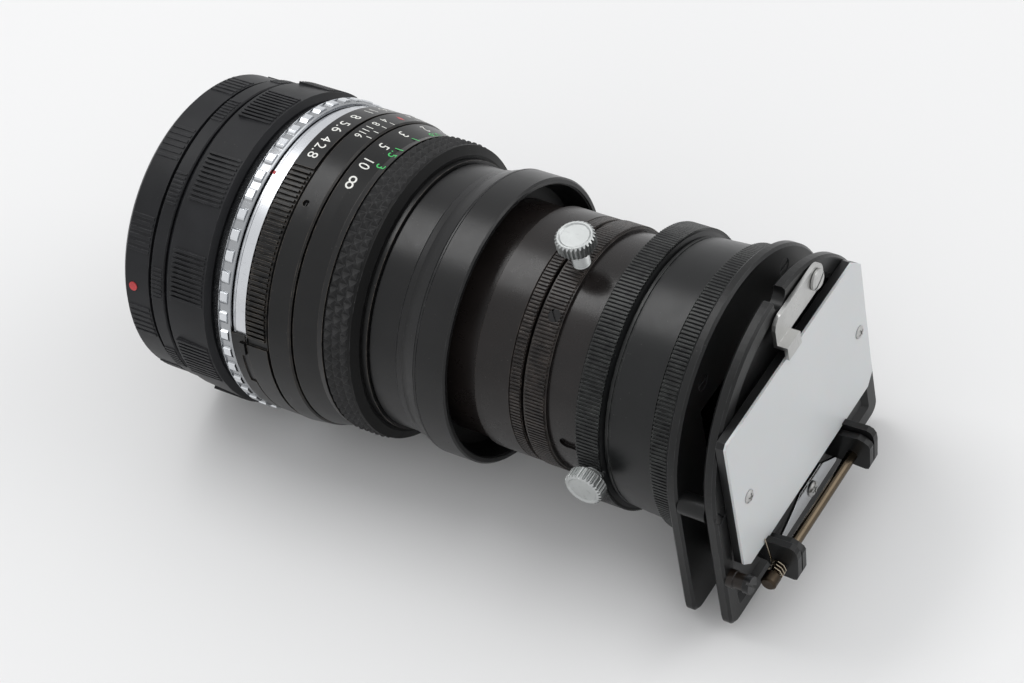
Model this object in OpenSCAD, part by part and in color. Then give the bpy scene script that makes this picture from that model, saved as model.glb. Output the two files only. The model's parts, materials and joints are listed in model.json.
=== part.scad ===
// Slide copying attachment on a taking lens: camera mount ring, extension barrel, lens with its
// rings, step ring, series ring, rotating and sliding tubes, and a slide stage with a hinged door.
// The optical axis is X. The slide stage is at the +X end and stands upright along Z.
// The origin lies on the axis, in the rear face of the camera mount ring.

/* [Camera mount] */
// Outer radius of the mount ring, which the radii of the other rings follow
ring_r = 31.0; // [30:0.1:33]
// Radius of the screw spigot behind the mount ring
spigot_r = 20.9; // [20.2:0.1:22]
// Length of the spigot
spigot_len = 4.0; // [3:0.1:5]
// Wall of the spigot round the light tunnel
tunnel_wall = 2.4; // [1.5:0.1:4]
// Length of the mount ring
mount_len = 6.6; // [5.5:0.1:8]
// Chamfer at the rear edge of the mount ring
mount_chamfer = 0.9; // [0.4:0.1:1.4]
// Radius of the red index dot
dot_r = 0.95; // [0.6:0.05:1.3]

/* [Extension barrel] */
// Width of the groove behind the narrow ring
spacer_gap = 0.8; // [0.3:0.1:1]
// Depth of that groove below the mount ring
spacer_neck_step = 0.8; // [0.5:0.1:1.5]
// Height of the narrow ring above the mount ring
spacer_step = 0.35; // [0.1:0.05:0.7]
// Length of the narrow ring
spacer_len = 3.2; // [2.5:0.1:4.5]
// Height of the large barrel's rear above the mount ring
barrel_step = 0.9; // [0.7:0.1:1.1]
// Growth of its radius towards the front
barrel_taper = 0.5; // [0.3:0.1:0.9]
// Length of the large barrel
barrel_len = 11.4; // [9:0.1:13]
// Length of the cone at its rear
barrel_cone = 1.4; // [1:0.1:2.5]
// Height of the fine grip ribs on the rear rings
fine_rib_h = 0.3; // [0.15:0.05:0.45]
// Distance between two fine ribs
fine_rib_pitch = 1.12; // [0.9:0.02:1.5]
// Groups of ribs round each rear ring
rib_groups = 10; // [8:1:10]

/* [Lens rings] */
// Length of the chrome lock ring
lock_len = 4.8; // [4:0.1:6]
// Height of its ridges above the mount ring
lock_step = 1.2; // [0.8:0.1:1.3]
// Number of ridges round the chrome ring
lock_ridges = 48; // [36:1:54]
// Length of the fixed silver barrel
silver_len = 3.45; // [3.2:0.05:4.5]
// Height of the silver barrel above the mount ring
silver_step = 0.2; // [0:0.1:0.4]
// Length of the aperture ring
aperture_len = 5.15; // [4.5:0.1:6]
// Height of the aperture ring above the mount ring
aperture_step = 0.8; // [0.6:0.1:1.1]
// Depth of the ribs on the aperture ring
aperture_rib_h = 0.55; // [0.3:0.05:0.8]
// Number of ribs a full turn of the aperture ring would hold
aperture_ribs = 188; // [150:1:200]
// Length of the fixed scale ring
scale_len = 4.95; // [4:0.1:6]
// Fall of the scale ring's radius towards its front
scale_taper = 0.5; // [0.2:0.1:0.8]
// Length of the conical part of the focus ring
focus_len = 6.45; // [5.5:0.1:8]
// Depth of the focus ring's rear below the mount ring
focus_step = 0.1; // [0:0.1:0.4]
// Fall of its radius towards the grip
focus_taper = 1.1; // [0.7:0.1:1.4]
// Length of the rubber grip
grip_len = 5.7; // [5:0.1:7]
// Height of the grip over its pyramids above the ring's front
grip_step = 0.5; // [0.3:0.1:1]
// Height of the rubber pyramids
grip_stud_h = 0.75; // [0.4:0.05:0.9]
// Pyramids in one row round the grip
grip_studs = 84; // [60:1:90]
// Rows of pyramids
grip_rows = 3; // [2:1:4]
// Length of the front bezel
bezel_len = 1.6; // [1.2:0.1:2.4]
// Gap between the front bezel and the step ring
front_gap = 1.5; // [0.6:0.1:2]
// Gap between rings that turn past each other
ring_gap = 0.25; // [0.15:0.05:0.4]

/* [Optics] */
// Thickness of each glass at its edge
glass_edge = 2.4; // [1.8:0.1:3]
// Bulge of each face of the front glass
front_bulge = 1.8; // [1:0.1:2.5]
// Bulge of each face of the rear glass
rear_bulge = 1.4; // [1:0.1:2.5]
// Wall of the moving front barrel
front_wall = 1.8; // [1.2:0.1:2.2]
// Number of iris blades
iris_count = 6; // [5:1:8]
// Thickness of one iris blade
blade_t = 0.15; // [0.1:0.01:0.2]
// Radius of the iris opening
iris_open_r = 7.5; // [4:0.1:10]

/* [Step and series rings] */
// Wall of the step ring
step_wall = 2.3; // [1.8:0.1:2.6]
// Height of the series ring above the step ring
series_step = 2.0; // [1.6:0.1:2.6]
// Width of the series ring's front lip
series_lip = 1.4; // [1:0.1:1.6]
// Length of the straight part of the step ring
step_len = 6.3; // [5:0.1:8]
// Length of the flared part of the step ring
flare_len = 5.4; // [4:0.1:6]
// Length of the series ring
series_len = 6.5; // [5.5:0.1:8]

/* [Copying tubes] */
// Depth of the sliding tube below the mount ring
tube_step = 7.6; // [7.4:0.1:8]
// Height of the knurled end and clamp collar above the sliding tube
collar_step = 1.0; // [0.7:0.1:1.3]
// Wall of the sliding tube
tube_wall = 2.9; // [2.5:0.1:4]
// Depth of the turning neck below the sliding tube
neck_step = 1.4; // [1.1:0.1:1.7]
// Distance of the rear tube's shoulder from the series ring's front
shoulder_offset = 3.75; // [2.5:0.05:5]
// Length of the smooth part of the rear tube
rear_tube_len = 7.85; // [6:0.1:10]
// Length of the knurled end of the rear tube
rear_knurl_len = 2.2; // [2:0.05:4]
// Ribs round the knurled end
rear_knurl_n = 200; // [150:1:220]
// Gap between the rear tube and the clamp collar
collar_gap = 0.7; // [0.3:0.05:1]
// Length of the clamp collar
collar_len = 4.9; // [3.5:0.1:5.5]
// Ribs round the clamp collar
collar_n = 202; // [150:1:220]
// Depth of the tube knurls
knurl_depth = 0.3; // [0.15:0.05:0.4]
// Visible length of the sliding tube at rest
slide_gap = 7.8; // [7.4:0.1:12]
// Radial running clearance of the tubes
run_fit = 0.05; // [0.03:0.01:0.08]
// Width of the guide slot in the sliding tube
slot_w = 2.5; // [2:0.1:3.2]
// Length of the guide slot
slot_len = 17.5; // [16:0.1:17.5]
// Travel of the stage barrel towards the lens
slide_back = 7.0; // [5:0.1:7]

/* [Stage barrel] */
// Height of the knurled rear collar above the sliding tube
stage_collar_step = 4.35; // [4:0.05:5]
// Height of the tapered barrel's rear above the sliding tube
taper_step = 3.0; // [2.6:0.1:3.3]
// Growth of the tapered barrel's radius
taper_growth = 0.6; // [0.2:0.1:0.8]
// Height of the flange ring above the sliding tube
flange_step = 4.55; // [4.2:0.05:5.2]
// Length of the knurled rear collar of the stage barrel
stage_collar_len = 6.4; // [5:0.1:7]
// Ribs round each knurled ring of the stage barrel
stage_knurl_n = 222; // [170:1:240]
// Length of the smooth tapered barrel
taper_len = 9.95; // [8:0.1:13]
// Length of the knurled flange ring
flange_len = 4.35; // [3.5:0.1:5.5]

/* [Slide stage] */
// Size of the square slide mount, which the whole stage follows
slide_size = 50.8; // [50:0.1:52]
// Reach of the round plate tops past half the slide
plate_over = 4.2; // [3.8:0.1:4.6]
// Reach of the plates' feet past their round tops
foot_over = 0.6; // [0.4:0.1:1.2]
// Depth of the plates' feet past their round tops
foot_drop = 0.7; // [0:0.1:1.2]
// Width of each plate beside the slide mount's window
window_side = 15.2; // [14:0.1:17]
// What the rear window leaves of the slide's height
window_rest = 22.4; // [20:0.1:26]
// What the gate leaves of the slide's height
gate_rest = 26.4; // [24:0.1:28]
// Thickness of the rear plate
rear_plate_t = 2.3; // [1.8:0.1:3]
// Thickness of the stage plate at its rim
stage_plate_t = 2.4; // [2:0.1:3]
// Gap for a slide between the two plates
slide_slot = 5.4; // [4.4:0.1:7]
// Chamfer round the edges of the plates
plate_chamfer = 0.5; // [0.2:0.1:0.7]
// Radius of the bottom corners of the plates
plate_corner_r = 2.5; // [1.5:0.1:4]
// Width of the rim left round the pocket of the stage plate
pocket_rim = 3.4; // [2.8:0.1:4]
// Depth of the finger notch below the top
notch_depth = 3.0; // [2.4:0.1:3.6]
// Depth of that pocket
pocket_depth = 1.0; // [0.5:0.1:1.1]
// Radius of the finger notch at the top
notch_r = 2.1; // [1.5:0.1:3]
// Sideways place of that notch
notch_y = 0.6; // [-1:0.1:1]
// Radius of the two posts between the plates
post_r = 2.2; // [1.8:0.1:2.5]
// Distance of each lower post from the middle
rest_y = 14.0; // [10:0.5:18]

/* [Door] */
// Width of the door past the slide mount
door_over = 1.2; // [0:0.1:2]
// What the door leaves of the slide's height
door_rest = 16.4; // [15:0.1:18]
// Sideways place of the door's centre
door_y = -0.3; // [-0.6:0.1:0.3]
// Height of the door's centre above the axis
door_z = 0.6; // [0.3:0.1:0.9]
// Thickness of the door frame
door_t = 1.6; // [1.2:0.1:2]
// Thickness of the diffuser plate
diffuser_t = 0.5; // [0.4:0.1:1]
// Length of the clipped lower corners of the door
door_clip = 2.2; // [1:0.1:2.5]
// Length of the clipped near upper corner of the door
door_clip_top = 0.9; // [0.5:0.1:1.5]
// Length of the clipped far upper corner of the door
door_clip_far = 3.0; // [2:0.1:3.5]
// Gap between the door and the rim of the stage plate
door_gap = 0.15; // [0.1:0.05:0.3]
// Distance of the hinge rod's axis in front of the stage plate
hinge_out = 4.8; // [4.7:0.1:5.2]
// Distance of the hinge rod's axis below the door
hinge_drop = 5.4; // [5.3:0.1:5.8]
// Radius of the hinge rod
rod_r = 1.1; // [0.8:0.05:1.2]
// Thickness of one hinge lug
lug_t = 1.4; // [1.1:0.1:1.6]
// Gap between a door lug and a stage lug
lug_gap = 0.4; // [0.3:0.1:0.8]
// Thickness of the latch strip
latch_t = 0.8; // [0.6:0.1:1]
// Half width of the latch strip
latch_half = 3.0; // [2.4:0.1:3.1]
// Gap between the latch lip and the top of the door
latch_clear = 0.5; // [0.45:0.05:0.8]
// Diameter of the hinge spring wire
wire_d = 0.3; // [0.25:0.01:0.34]
// Turns of the hinge spring
spring_turns = 2.75; // [1.75:1:3.75]
// Distance between two turns of the hinge spring
spring_pitch = 0.75; // [0.75:0.01:0.85]
// Thickness of the leaf spring
leaf_t = 0.5; // [0.3:0.05:0.7]

/* [Thumbscrews] */
// Radius of a thumbscrew head
thumb_r = 3.85; // [3.4:0.05:4.2]
// Height of a thumbscrew head
thumb_h = 3.0; // [2.6:0.1:4]
// Radius of a thumbscrew stem
thumb_stem_r = 1.75; // [1.4:0.05:2]
// Length of the stem that shows under the upper head
upper_stem_len = 4.6; // [3.5:0.1:5.5]
// Length of the stem that shows under the lower head
lower_stem_len = 1.3; // [1:0.1:2.5]
// Teeth round a thumbscrew head
thumb_teeth = 28; // [20:1:36]
// Angle of the upper thumbscrew round the axis
upper_thumb_angle = 93.5; // [80:1:110]
// Angle of the lower thumbscrew and the guide slot
lower_thumb_angle = 182; // [170:1:190]

/* [Hidden] */

smooth = 128;
fine = 48;
eps = 0.02;
seat = 0.02;

// Radii of the rings, all from the mount ring's radius
tunnel_r = spigot_r - tunnel_wall;
mount_r = ring_r;
spacer_neck_r = ring_r - spacer_neck_step;
spacer_r = ring_r + spacer_step;
barrel_rear_r = ring_r + barrel_step;
barrel_front_r = barrel_rear_r + barrel_taper;
lock_r = ring_r + lock_step;
silver_r = ring_r + silver_step;
aperture_r = ring_r + aperture_step;
scale_rear_r = aperture_r;
scale_r = scale_rear_r - scale_taper;
focus_rear_r = ring_r - focus_step;
focus_front_r = focus_rear_r - focus_taper;
grip_r = focus_front_r + grip_step;
carrier_r = ring_r - 2.0;
carrier_bore = carrier_r - 4.0;
focus_bore = ring_r - 3.5;
front_barrel_r = focus_bore - run_fit;
barrel_bore_r = carrier_bore - run_fit - front_wall;
front_glass_r = carrier_bore - 4.5;
rear_glass_r = tunnel_r - 4.0;
filter_r = focus_bore - 3.0;
step_r = filter_r + step_wall;
series_r = step_r + series_step;
series_recess_r = series_r - series_lip;

// Radii of the copying tubes and the stage barrel
slide_tube_r = ring_r - tube_step;
collar_r = slide_tube_r + collar_step;
rear_tube_r = collar_r - 0.2;
tube_bore_r = slide_tube_r - tube_wall;
neck_r = slide_tube_r - neck_step;
hub_r = slide_tube_r - 0.1;
stage_collar_r = slide_tube_r + stage_collar_step;
taper_rear_r = slide_tube_r + taper_step;
taper_front_r = taper_rear_r + taper_growth;
flange_r = slide_tube_r + flange_step;
plate_screw_pcd = slide_tube_r + 1.8;

// Sizes of the stage, all from the slide mount
half_slide = slide_size / 2;
plate_r = half_slide + plate_over;
plate_half_w = plate_r + foot_over;
plate_drop = plate_r + foot_drop;
window_w = slide_size - window_side;
window_h = slide_size - window_rest;
gate_h = slide_size - gate_rest;
post_y = half_slide + 0.1 + post_r;
rest_drop = half_slide;
door_w = slide_size + door_over;
door_h = slide_size - door_rest;
near_lug_y = 6.7 - half_slide;
far_lug_y = half_slide - 14.6;
screw_y = half_slide - 3.45;
latch_y = half_slide - 14.0;
latch_z = plate_r - 5.7;
stop_y = 1.9 - plate_half_w;
stop_z = 13.3 - plate_drop;

// Places along the axis, from rear to front
x_spacer = mount_len;
x_barrel = x_spacer + spacer_gap + spacer_len;
x_lock = x_barrel + barrel_len + ring_gap;
x_silver = x_lock + lock_len + ring_gap;
x_aperture = x_silver + silver_len;
x_scale = x_aperture + aperture_len + ring_gap;
x_focus = x_scale + scale_len + ring_gap;
x_grip = x_focus + focus_len;
x_bezel = x_grip + grip_len;
x_step = x_bezel + bezel_len + front_gap;
x_flare = x_step + step_len;
x_series = x_flare + flare_len;
x_series_end = x_series + series_len;
x_shoulder = x_series_end + shoulder_offset;
x_rear_knurl = x_shoulder + rear_tube_len;
x_rear_end = x_rear_knurl + rear_knurl_len;
x_collar = x_rear_end + collar_gap;
x_tube = x_collar + collar_len;
x_stage_collar = x_tube + slide_gap;
x_taper = x_stage_collar + stage_collar_len;
x_flange = x_taper + taper_len;
x_plate = x_flange + flange_len;
x_slot = x_plate + rear_plate_t;
x_stage = x_slot + slide_slot;
x_rim = x_stage + stage_plate_t;
x_door = x_rim + door_gap;
x_diffuser = x_door + door_t;
x_front = x_diffuser + diffuser_t;

// Places of the carrier and the moving front barrel
carrier_end = x_focus - ring_gap;
skirt_start = x_silver + 4.2;
front_barrel_end = x_step - 0.3;
x_iris = x_scale - 0.6;
iris_shift = 3.4;
iris_ring_len = 1.8;
iris_ring_w = 3.2;

// Stage places
door_bottom = door_z - door_h / 2;
door_top = door_z + door_h / 2;
hinge_x = x_rim + hinge_out;
hinge_z = door_bottom - hinge_drop;
rod_bore = rod_r + run_fit;
thumb_gap = 0.05;
thread_pitch = 0.5;
thread_depth = 0.22;
latch_lift = 0.3;
notch_z = plate_r - notch_depth + notch_r;
x_lower_thumb = x_stage_collar + stage_collar_len * 0.62;
x_upper_thumb = x_tube - thumb_stem_r - thumb_gap - 0.12;
tube_end = x_plate - slide_back - 0.4;

// Screw sizes of the stage
post_head_r = post_r * 0.77;
post_head_h = stage_plate_t * 0.375;
post_shank_r = post_r * 0.41;
pan_r = door_t * 0.84;
pan_h = door_t * 0.34;
pan_shank_r = door_t * 0.375;

// Leaf spring: place of its screw and its bulge
leaf_y = 0.4;
leaf_z = hinge_z - 0.2;
leaf_bulge_r = 9.0;
leaf_crown = x_rim + 1.6;
leaf_axis_z = leaf_z - 0.4;
leaf_boss_r = 1.5;
leaf_seat = leaf_crown - leaf_bulge_r
    + sqrt(pow(leaf_bulge_r - leaf_t, 2) - pow(leaf_boss_r + 0.4, 2)) - 0.03;

// ---------- shared shapes ----------

// A solid of revolution about the X axis from points [radius, x]
module lathe(points) {
    rotate([0, 90, 0]) rotate_extrude($fn = smooth) polygon(points);
}

// A straight ring about the X axis
module ring(x0, x1, r_out, r_in) {
    lathe([[r_in, x0], [r_out, x0], [r_out, x1], [r_in, x1]]);
}

// Extrudes a flat shape drawn in (y, z) along X
module along_x(x0, x1) {
    translate([x0, 0, 0]) rotate([90, 0, 90]) linear_extrude(height = x1 - x0) children();
}

// A rod along X
module rod_x(x0, x1, r, sides = fine) {
    translate([x0, 0, 0]) rotate([0, 90, 0]) cylinder(h = x1 - x0, r = r, $fn = sides);
}

// A rod along Y
module rod_y(y0, y1, r, sides = fine) {
    translate([0, y1, 0]) rotate([90, 0, 0]) cylinder(h = y1 - y0, r = r, $fn = sides);
}

function polar(r, a) = [r * cos(a), r * sin(a)];

// Outline of a toothed ring: each tooth has a flat top and a flat root
function tooth_points(r_top, r_root, count, top_share) = [
    for (i = [0 : count - 1]) let (step = 360 / count)
        for (p = [[0, r_root], [0.5 - top_share / 2, r_root],
                  [0.62 - top_share / 2, r_top], [0.38 + top_share / 2, r_top]])
            polar(p[1], (i + p[0]) * step)];

// A knurled band with a bore
module knurl_band(x0, x1, r_top, depth, count, r_in) {
    difference() {
        along_x(x0, x1) polygon(tooth_points(r_top, r_top - depth, count, 0.62));
        rod_x(x0 - 1, x1 + 1, r_in, smooth);
    }
}

// A comb of ribs over part of a turn, standing on a cylinder of radius r
function comb_points(r, h, a0, a1, pitch) = concat(
    [for (i = [0 : 8]) polar(r - 0.6, a1 + (a0 - a1) * i / 8)],
    [for (i = [0 : floor((a1 - a0) * PI * r / 180 / pitch) - 1])
        let (step = pitch / r * 180 / PI)
            for (p = [[0.12, r - 0.3], [0.2, r + h], [0.68, r + h], [0.76, r - 0.3]])
                polar(p[1], a0 + (i + p[0]) * step)]);

module comb(x0, x1, r, h, a0, a1, pitch) {
    along_x(x0, x1) polygon(comb_points(r, h, a0, a1, pitch));
}

// A slotted or plain round screw head on the end of a short shank, along +X
module screw(head_r, head_h, shank_r, shank_len, slot_width) {
    difference() {
        union() {
            rod_x(0, head_h, head_r, fine);
            rod_x(-shank_len, eps, shank_r, fine);
        }
        if (slot_width > 0)
            translate([head_h - head_h * 0.45, -slot_width / 2, -head_r - 1])
                cube([head_h, slot_width, 2 * head_r + 2]);
    }
}

// A screw with a raised round head and a cross recess, along +X
module pan_screw(head_r, head_h, shank_r, shank_len) {
    arm = head_r * 0.62;
    cut = head_r * 0.26;
    difference() {
        union() {
            lathe([[0, 0], [head_r, 0], [head_r, head_h * 0.35], [head_r * 0.72, head_h * 0.85],
                   [head_r * 0.4, head_h], [0, head_h]]);
            rod_x(-shank_len, eps, shank_r, fine);
        }
        for (turn = [0, 90])
            rotate([turn, 0, 0])
                translate([head_h * 0.5, -arm, -cut / 2]) cube([head_h, 2 * arm, cut]);
    }
}

// A knurled thumbscrew that stands out along +Y from radius r
module thumbscrew(r, tip, stem_len) {
    head_from = r + stem_len;
    head_to = head_from + thumb_h;
    bevel = 0.5;
    rotate([0, 0, 90]) {
        lathe(concat([[0, tip], [thumb_stem_r, tip]],
            [for (i = [0 : floor((head_from - 0.7 - r) / thread_pitch) - 1])
                for (p = [[0, 0], [thread_depth, 0.5]])
                    [thumb_stem_r - p[0], r + (i + p[1]) * thread_pitch]],
            [[thumb_stem_r, head_from - 0.7], [thumb_stem_r, head_from + eps], [0, head_from + eps]]));
        lathe([[0, head_from - 0.5], [thumb_stem_r + 0.9, head_from - 0.5],
               [thumb_stem_r + 0.9, head_from + eps], [0, head_from + eps]]);
        difference() {
            intersection() {
                along_x(head_from, head_to)
                    polygon(tooth_points(thumb_r, thumb_r - 0.4, thumb_teeth, 0.5));
                lathe([[0, head_from], [thumb_r - bevel, head_from], [thumb_r + 0.1, head_from + bevel],
                       [thumb_r + 0.1, head_to - bevel], [thumb_r - bevel, head_to], [0, head_to]]);
            }
            lathe([[0, head_to - 0.25], [thumb_r - 1.1, head_to - 0.25],
                   [thumb_r - 0.7, head_to + 0.1], [0, head_to + 0.1]]);
        }
    }
}

// Outline of both plates, drawn in (y, z), drawn in by inset
module plate_outline(inset = 0) {
    corner = plate_corner_r - inset * 0.5;
    hull() {
        circle(r = plate_r - inset, $fn = 120);
        for (side = [-1, 1])
            translate([side * (plate_half_w - inset - corner), -plate_drop + inset + corner])
                circle(r = corner, $fn = 32);
    }
}

// A plate with chamfered edges
module plate_blank(x0, t) {
    hull() {
        along_x(x0 + plate_chamfer, x0 + t - plate_chamfer) plate_outline();
        along_x(x0, x0 + t) plate_outline(plate_chamfer);
    }
}

// ---------- lens, rear to front ----------

module camera_mount_ring() {
    color("dimgray")
    difference() {
        union() {
            lathe([[tunnel_r, -spigot_len], [spigot_r - 0.5, -spigot_len],
                   [spigot_r, -spigot_len + 0.5], [spigot_r, 0], [mount_r - mount_chamfer, 0],
                   [mount_r, mount_chamfer], [mount_r, mount_len], [tunnel_r, mount_len]]);
            for (i = [0 : rib_groups - 1])
                comb(mount_chamfer + 0.3, mount_len - 0.3, mount_r, fine_rib_h * 0.7,
                     97 + i * 360 / rib_groups, 113 + i * 360 / rib_groups, fine_rib_pitch * 1.2);
        }
        rotate([161.5, 0, 0]) translate([mount_len * 0.42, mount_r - 0.6, 0])
            rod_y(0, 2, dot_r + seat);
    }
}

module mount_index_dot() {
    color("crimson")
    rotate([161.5, 0, 0]) translate([mount_len * 0.42, mount_r - 0.6, 0]) rod_y(0, 0.75, dot_r);
}

module spacer_ring() {
    color("dimgray")
    union() {
        lathe([[tunnel_r, x_spacer], [spacer_neck_r, x_spacer], [spacer_neck_r, x_spacer + spacer_gap],
               [spacer_r - 0.2, x_spacer + spacer_gap], [spacer_r, x_spacer + spacer_gap + 0.25],
               [spacer_r, x_barrel - 0.25], [spacer_r - 0.25, x_barrel], [tunnel_r, x_barrel]]);
        for (i = [0 : rib_groups - 1])
            comb(x_spacer + spacer_gap + 0.3, x_barrel - 0.4, spacer_r, fine_rib_h * 0.7,
                 114.5 + i * 360 / rib_groups, 128.5 + i * 360 / rib_groups, fine_rib_pitch * 0.8);
    }
}

module extension_barrel() {
    x_body = x_barrel + barrel_cone;
    x_end = x_barrel + barrel_len;
    color("dimgray")
    union() {
        lathe([[tunnel_r, x_barrel], [spacer_r - 0.85, x_barrel], [barrel_rear_r, x_body],
               [barrel_front_r, x_end - 0.7], [barrel_front_r - 1.4, x_end], [tunnel_r, x_end]]);
        for (i = [0 : rib_groups - 1])
            comb(x_body + 1.2, x_end - 1.2, barrel_rear_r, fine_rib_h + 0.4,
                 104.5 + i * 360 / rib_groups, 124.5 + i * 360 / rib_groups, fine_rib_pitch * 0.87);
    }
}

module chrome_lock_ring() {
    cone_end = x_lock + lock_len * 0.5;
    x_end = x_lock + lock_len;
    floor_r = lock_r - 0.5;
    color("gainsboro")
    union() {
        lathe([[carrier_r + run_fit, x_lock], [lock_r - 1.5, x_lock], [lock_r - 0.15, cone_end],
               [floor_r, cone_end + 0.1], [floor_r, x_end - 0.25], [floor_r - 0.25, x_end],
               [carrier_r + run_fit, x_end]]);
        rotate([120.5 - 90 / lock_ridges, 0, 0])
            knurl_band(cone_end + 0.35, x_end - 0.35, lock_r, 0.8, lock_ridges, floor_r - 1);
    }
}

module lens_barrel() {
    color("gray")
    lathe([[tunnel_r, x_lock - ring_gap], [carrier_r, x_lock - ring_gap], [carrier_r, carrier_end],
           [carrier_bore, carrier_end], [carrier_bore, x_silver + 0.6], [rear_glass_r + seat, x_silver + 0.6],
           [rear_glass_r + seat, x_silver - 2.5], [tunnel_r, x_silver - 2.5]]);
}

module silver_barrel() {
    groove_end = x_silver + silver_len * 0.2;
    color("silver")
    lathe([[carrier_r, x_silver], [silver_r - 0.4, x_silver], [silver_r - 0.4, groove_end],
           [silver_r - 0.15, groove_end], [silver_r, groove_end + 0.2],
           [silver_r, x_aperture - ring_gap], [carrier_r, x_aperture - ring_gap]]);
}

cover_from = 165.5;
cover_to = 212;
cover_slot_to = 188;
cover_r = aperture_r - 0.1;
slot_floor_r = silver_r + 0.22;

module switch_cover() {
    x0 = x_silver + 0.1;
    x1 = x_aperture - ring_gap;
    slot_x0 = x1 - 1.3;
    color("dimgray")
    difference() {
        intersection() {
            ring(x0, x1, cover_r, silver_r + seat);
            along_x(x0 - 1, x1 + 1)
                polygon([for (a = [0, 1, 2, 3, 4]) if (a == 0) [0, 0]
                         else polar(50, cover_from + (a - 1) * (cover_to - cover_from) / 3)]);
        }
        intersection() {
            ring(slot_x0, x1 + 1, cover_r + 1, slot_floor_r);
            along_x(slot_x0, x1 + 1)
                polygon([[0, 0], polar(50, cover_from + 2.5), polar(50, cover_slot_to)]);
        }
    }
}

module auto_switch() {
    x1 = x_aperture - ring_gap;
    slot_x0 = x1 - 1.3;
    color("black")
    intersection() {
        ring(slot_x0 + 0.12, x1 - 0.05, cover_r + 0.45, slot_floor_r + 0.03);
        along_x(slot_x0, x1)
            polygon([[0, 0], polar(50, cover_from + 3), polar(50, cover_from + 8)]);
    }
}

module aperture_ring() {
    x1 = x_aperture + aperture_len;
    color("dimgray")
    union() {
        lathe([[carrier_r + run_fit, x_aperture], [aperture_r - 0.75, x_aperture],
               [aperture_r - 0.6, x_aperture + 0.2], [aperture_r - 0.6, x1 - 0.4],
               [aperture_r - 1.1, x1], [carrier_r + run_fit, x1]]);
        for (a0 = [100, 280])
            comb(x_aperture + 0.35, x1 - 0.6, aperture_r - aperture_rib_h, aperture_rib_h, a0, a0 + 68,
                 2 * PI * aperture_r / aperture_ribs);
        for (a0 = [-11, 169])
            intersection() {
                ring(x_aperture + 0.05, x1 - 0.3, aperture_r - 0.1, carrier_r + 1);
                along_x(x_aperture - 1, x1 + 1)
                    polygon(concat([[0, 0]], [for (k = [0 : 4]) polar(60, a0 + k * 27.5)]));
            }
    }
}

module scale_ring() {
    x1 = x_scale + scale_len;
    color("dimgray")
    difference() {
        lathe([[carrier_r, x_scale], [scale_rear_r - 0.25, x_scale], [scale_rear_r, x_scale + 0.3],
               [scale_r, x1 - 0.3], [scale_r - 0.3, x1], [carrier_r, x1]]);
        rotate([112, 0, 0]) translate([x_scale + scale_len * 0.36, scale_r - 0.9, 0])
            rod_y(0, 2, 0.7);
    }
}

module scale_screw() {
    color("black")
    rotate([112, 0, 0]) translate([x_scale + scale_len * 0.36, scale_r - 0.9, 0])
        rotate([0, 0, 90]) screw(0.68, 0.7, 0.4, -eps, 0.3);
}

module focus_ring() {
    color("dimgray")
    lathe([[focus_bore, x_focus], [focus_rear_r - 0.2, x_focus], [focus_rear_r, x_focus + 0.25],
           [focus_front_r + 0.6, x_focus + focus_len * 0.4], [focus_front_r, x_focus + focus_len * 0.8],
           [focus_front_r + 0.25, x_grip - 0.05], [grip_r - 1.4, x_grip - 0.05],
           [grip_r - 1.4, x_bezel - seat], [focus_bore, x_bezel - seat]]);
}

module rubber_grip() {
    row_len = grip_len / grip_rows;
    root = grip_r - grip_stud_h;
    teeth = [for (i = [0 : grip_studs - 1]) for (p = [[0, root], [0.5, grip_r + 0.12]])
        polar(p[1], (i + p[0]) * 360 / grip_studs)];
    color("black")
    union() {
        ring(x_grip, x_bezel - seat, root + 0.05, grip_r - 1.4);
        for (row = [0 : grip_rows - 1])
            intersection() {
                along_x(x_grip + row * row_len, x_grip + (row + 1) * row_len)
                    rotate(row % 2 * 180 / grip_studs) polygon(teeth);
                lathe([[root - 0.5, x_grip + row * row_len], [root - 0.02, x_grip + row * row_len],
                       [grip_r, x_grip + (row + 0.4) * row_len], [grip_r, x_grip + (row + 0.6) * row_len],
                       [root - 0.02, x_grip + (row + 1) * row_len],
                       [root - 0.5, x_grip + (row + 1) * row_len]]);
            }
    }
}

module front_bezel() {
    x1 = x_bezel + bezel_len;
    rim = grip_r - 0.35;
    color("dimgray")
    lathe([[focus_bore, x_bezel], [rim, x_bezel], [rim, x_bezel + bezel_len * 0.4],
           [rim - 0.3, x_bezel + bezel_len * 0.5], [focus_bore + 0.7, x1], [focus_bore, x1]]);
}

// ---------- glass and iris ----------

// A lens element with two convex faces, drawn as points [radius, x]
function lens_points(r, x_mid, edge, bulge, steps = 12) = concat(
    [for (i = [0 : steps]) let (s = i / steps) [r * s, x_mid + edge / 2 + bulge * (1 - s * s)]],
    [for (i = [steps : -1 : 0]) let (s = i / steps) [r * s, x_mid - edge / 2 - bulge * (1 - s * s)]]);

module rear_glass() {
    color("lightblue", 0.5)
    lathe(lens_points(rear_glass_r, x_silver - 1.0, glass_edge, rear_bulge));
}

module front_glass() {
    color("lightblue", 0.5)
    lathe(lens_points(front_glass_r, x_grip + glass_edge / 2, glass_edge, front_bulge));
}

module front_barrel() {
    head_from = x_focus + focus_len * 0.56;
    lip_w = front_glass_r * 0.073;
    lip_x = x_grip - front_bulge * 0.16;
    color("dimgray")
    lathe([[barrel_bore_r, skirt_start], [carrier_bore - run_fit, skirt_start],
           [carrier_bore - run_fit, head_from], [front_barrel_r, head_from],
           [front_barrel_r, front_barrel_end], [filter_r + seat, front_barrel_end],
           [filter_r + seat, x_grip + glass_edge], [front_glass_r + seat, x_grip + glass_edge],
           [front_glass_r + seat, lip_x], [front_glass_r - lip_w, lip_x],
           [front_glass_r - lip_w, x_focus - 1], [barrel_bore_r, x_focus - 3]]);
}

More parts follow.
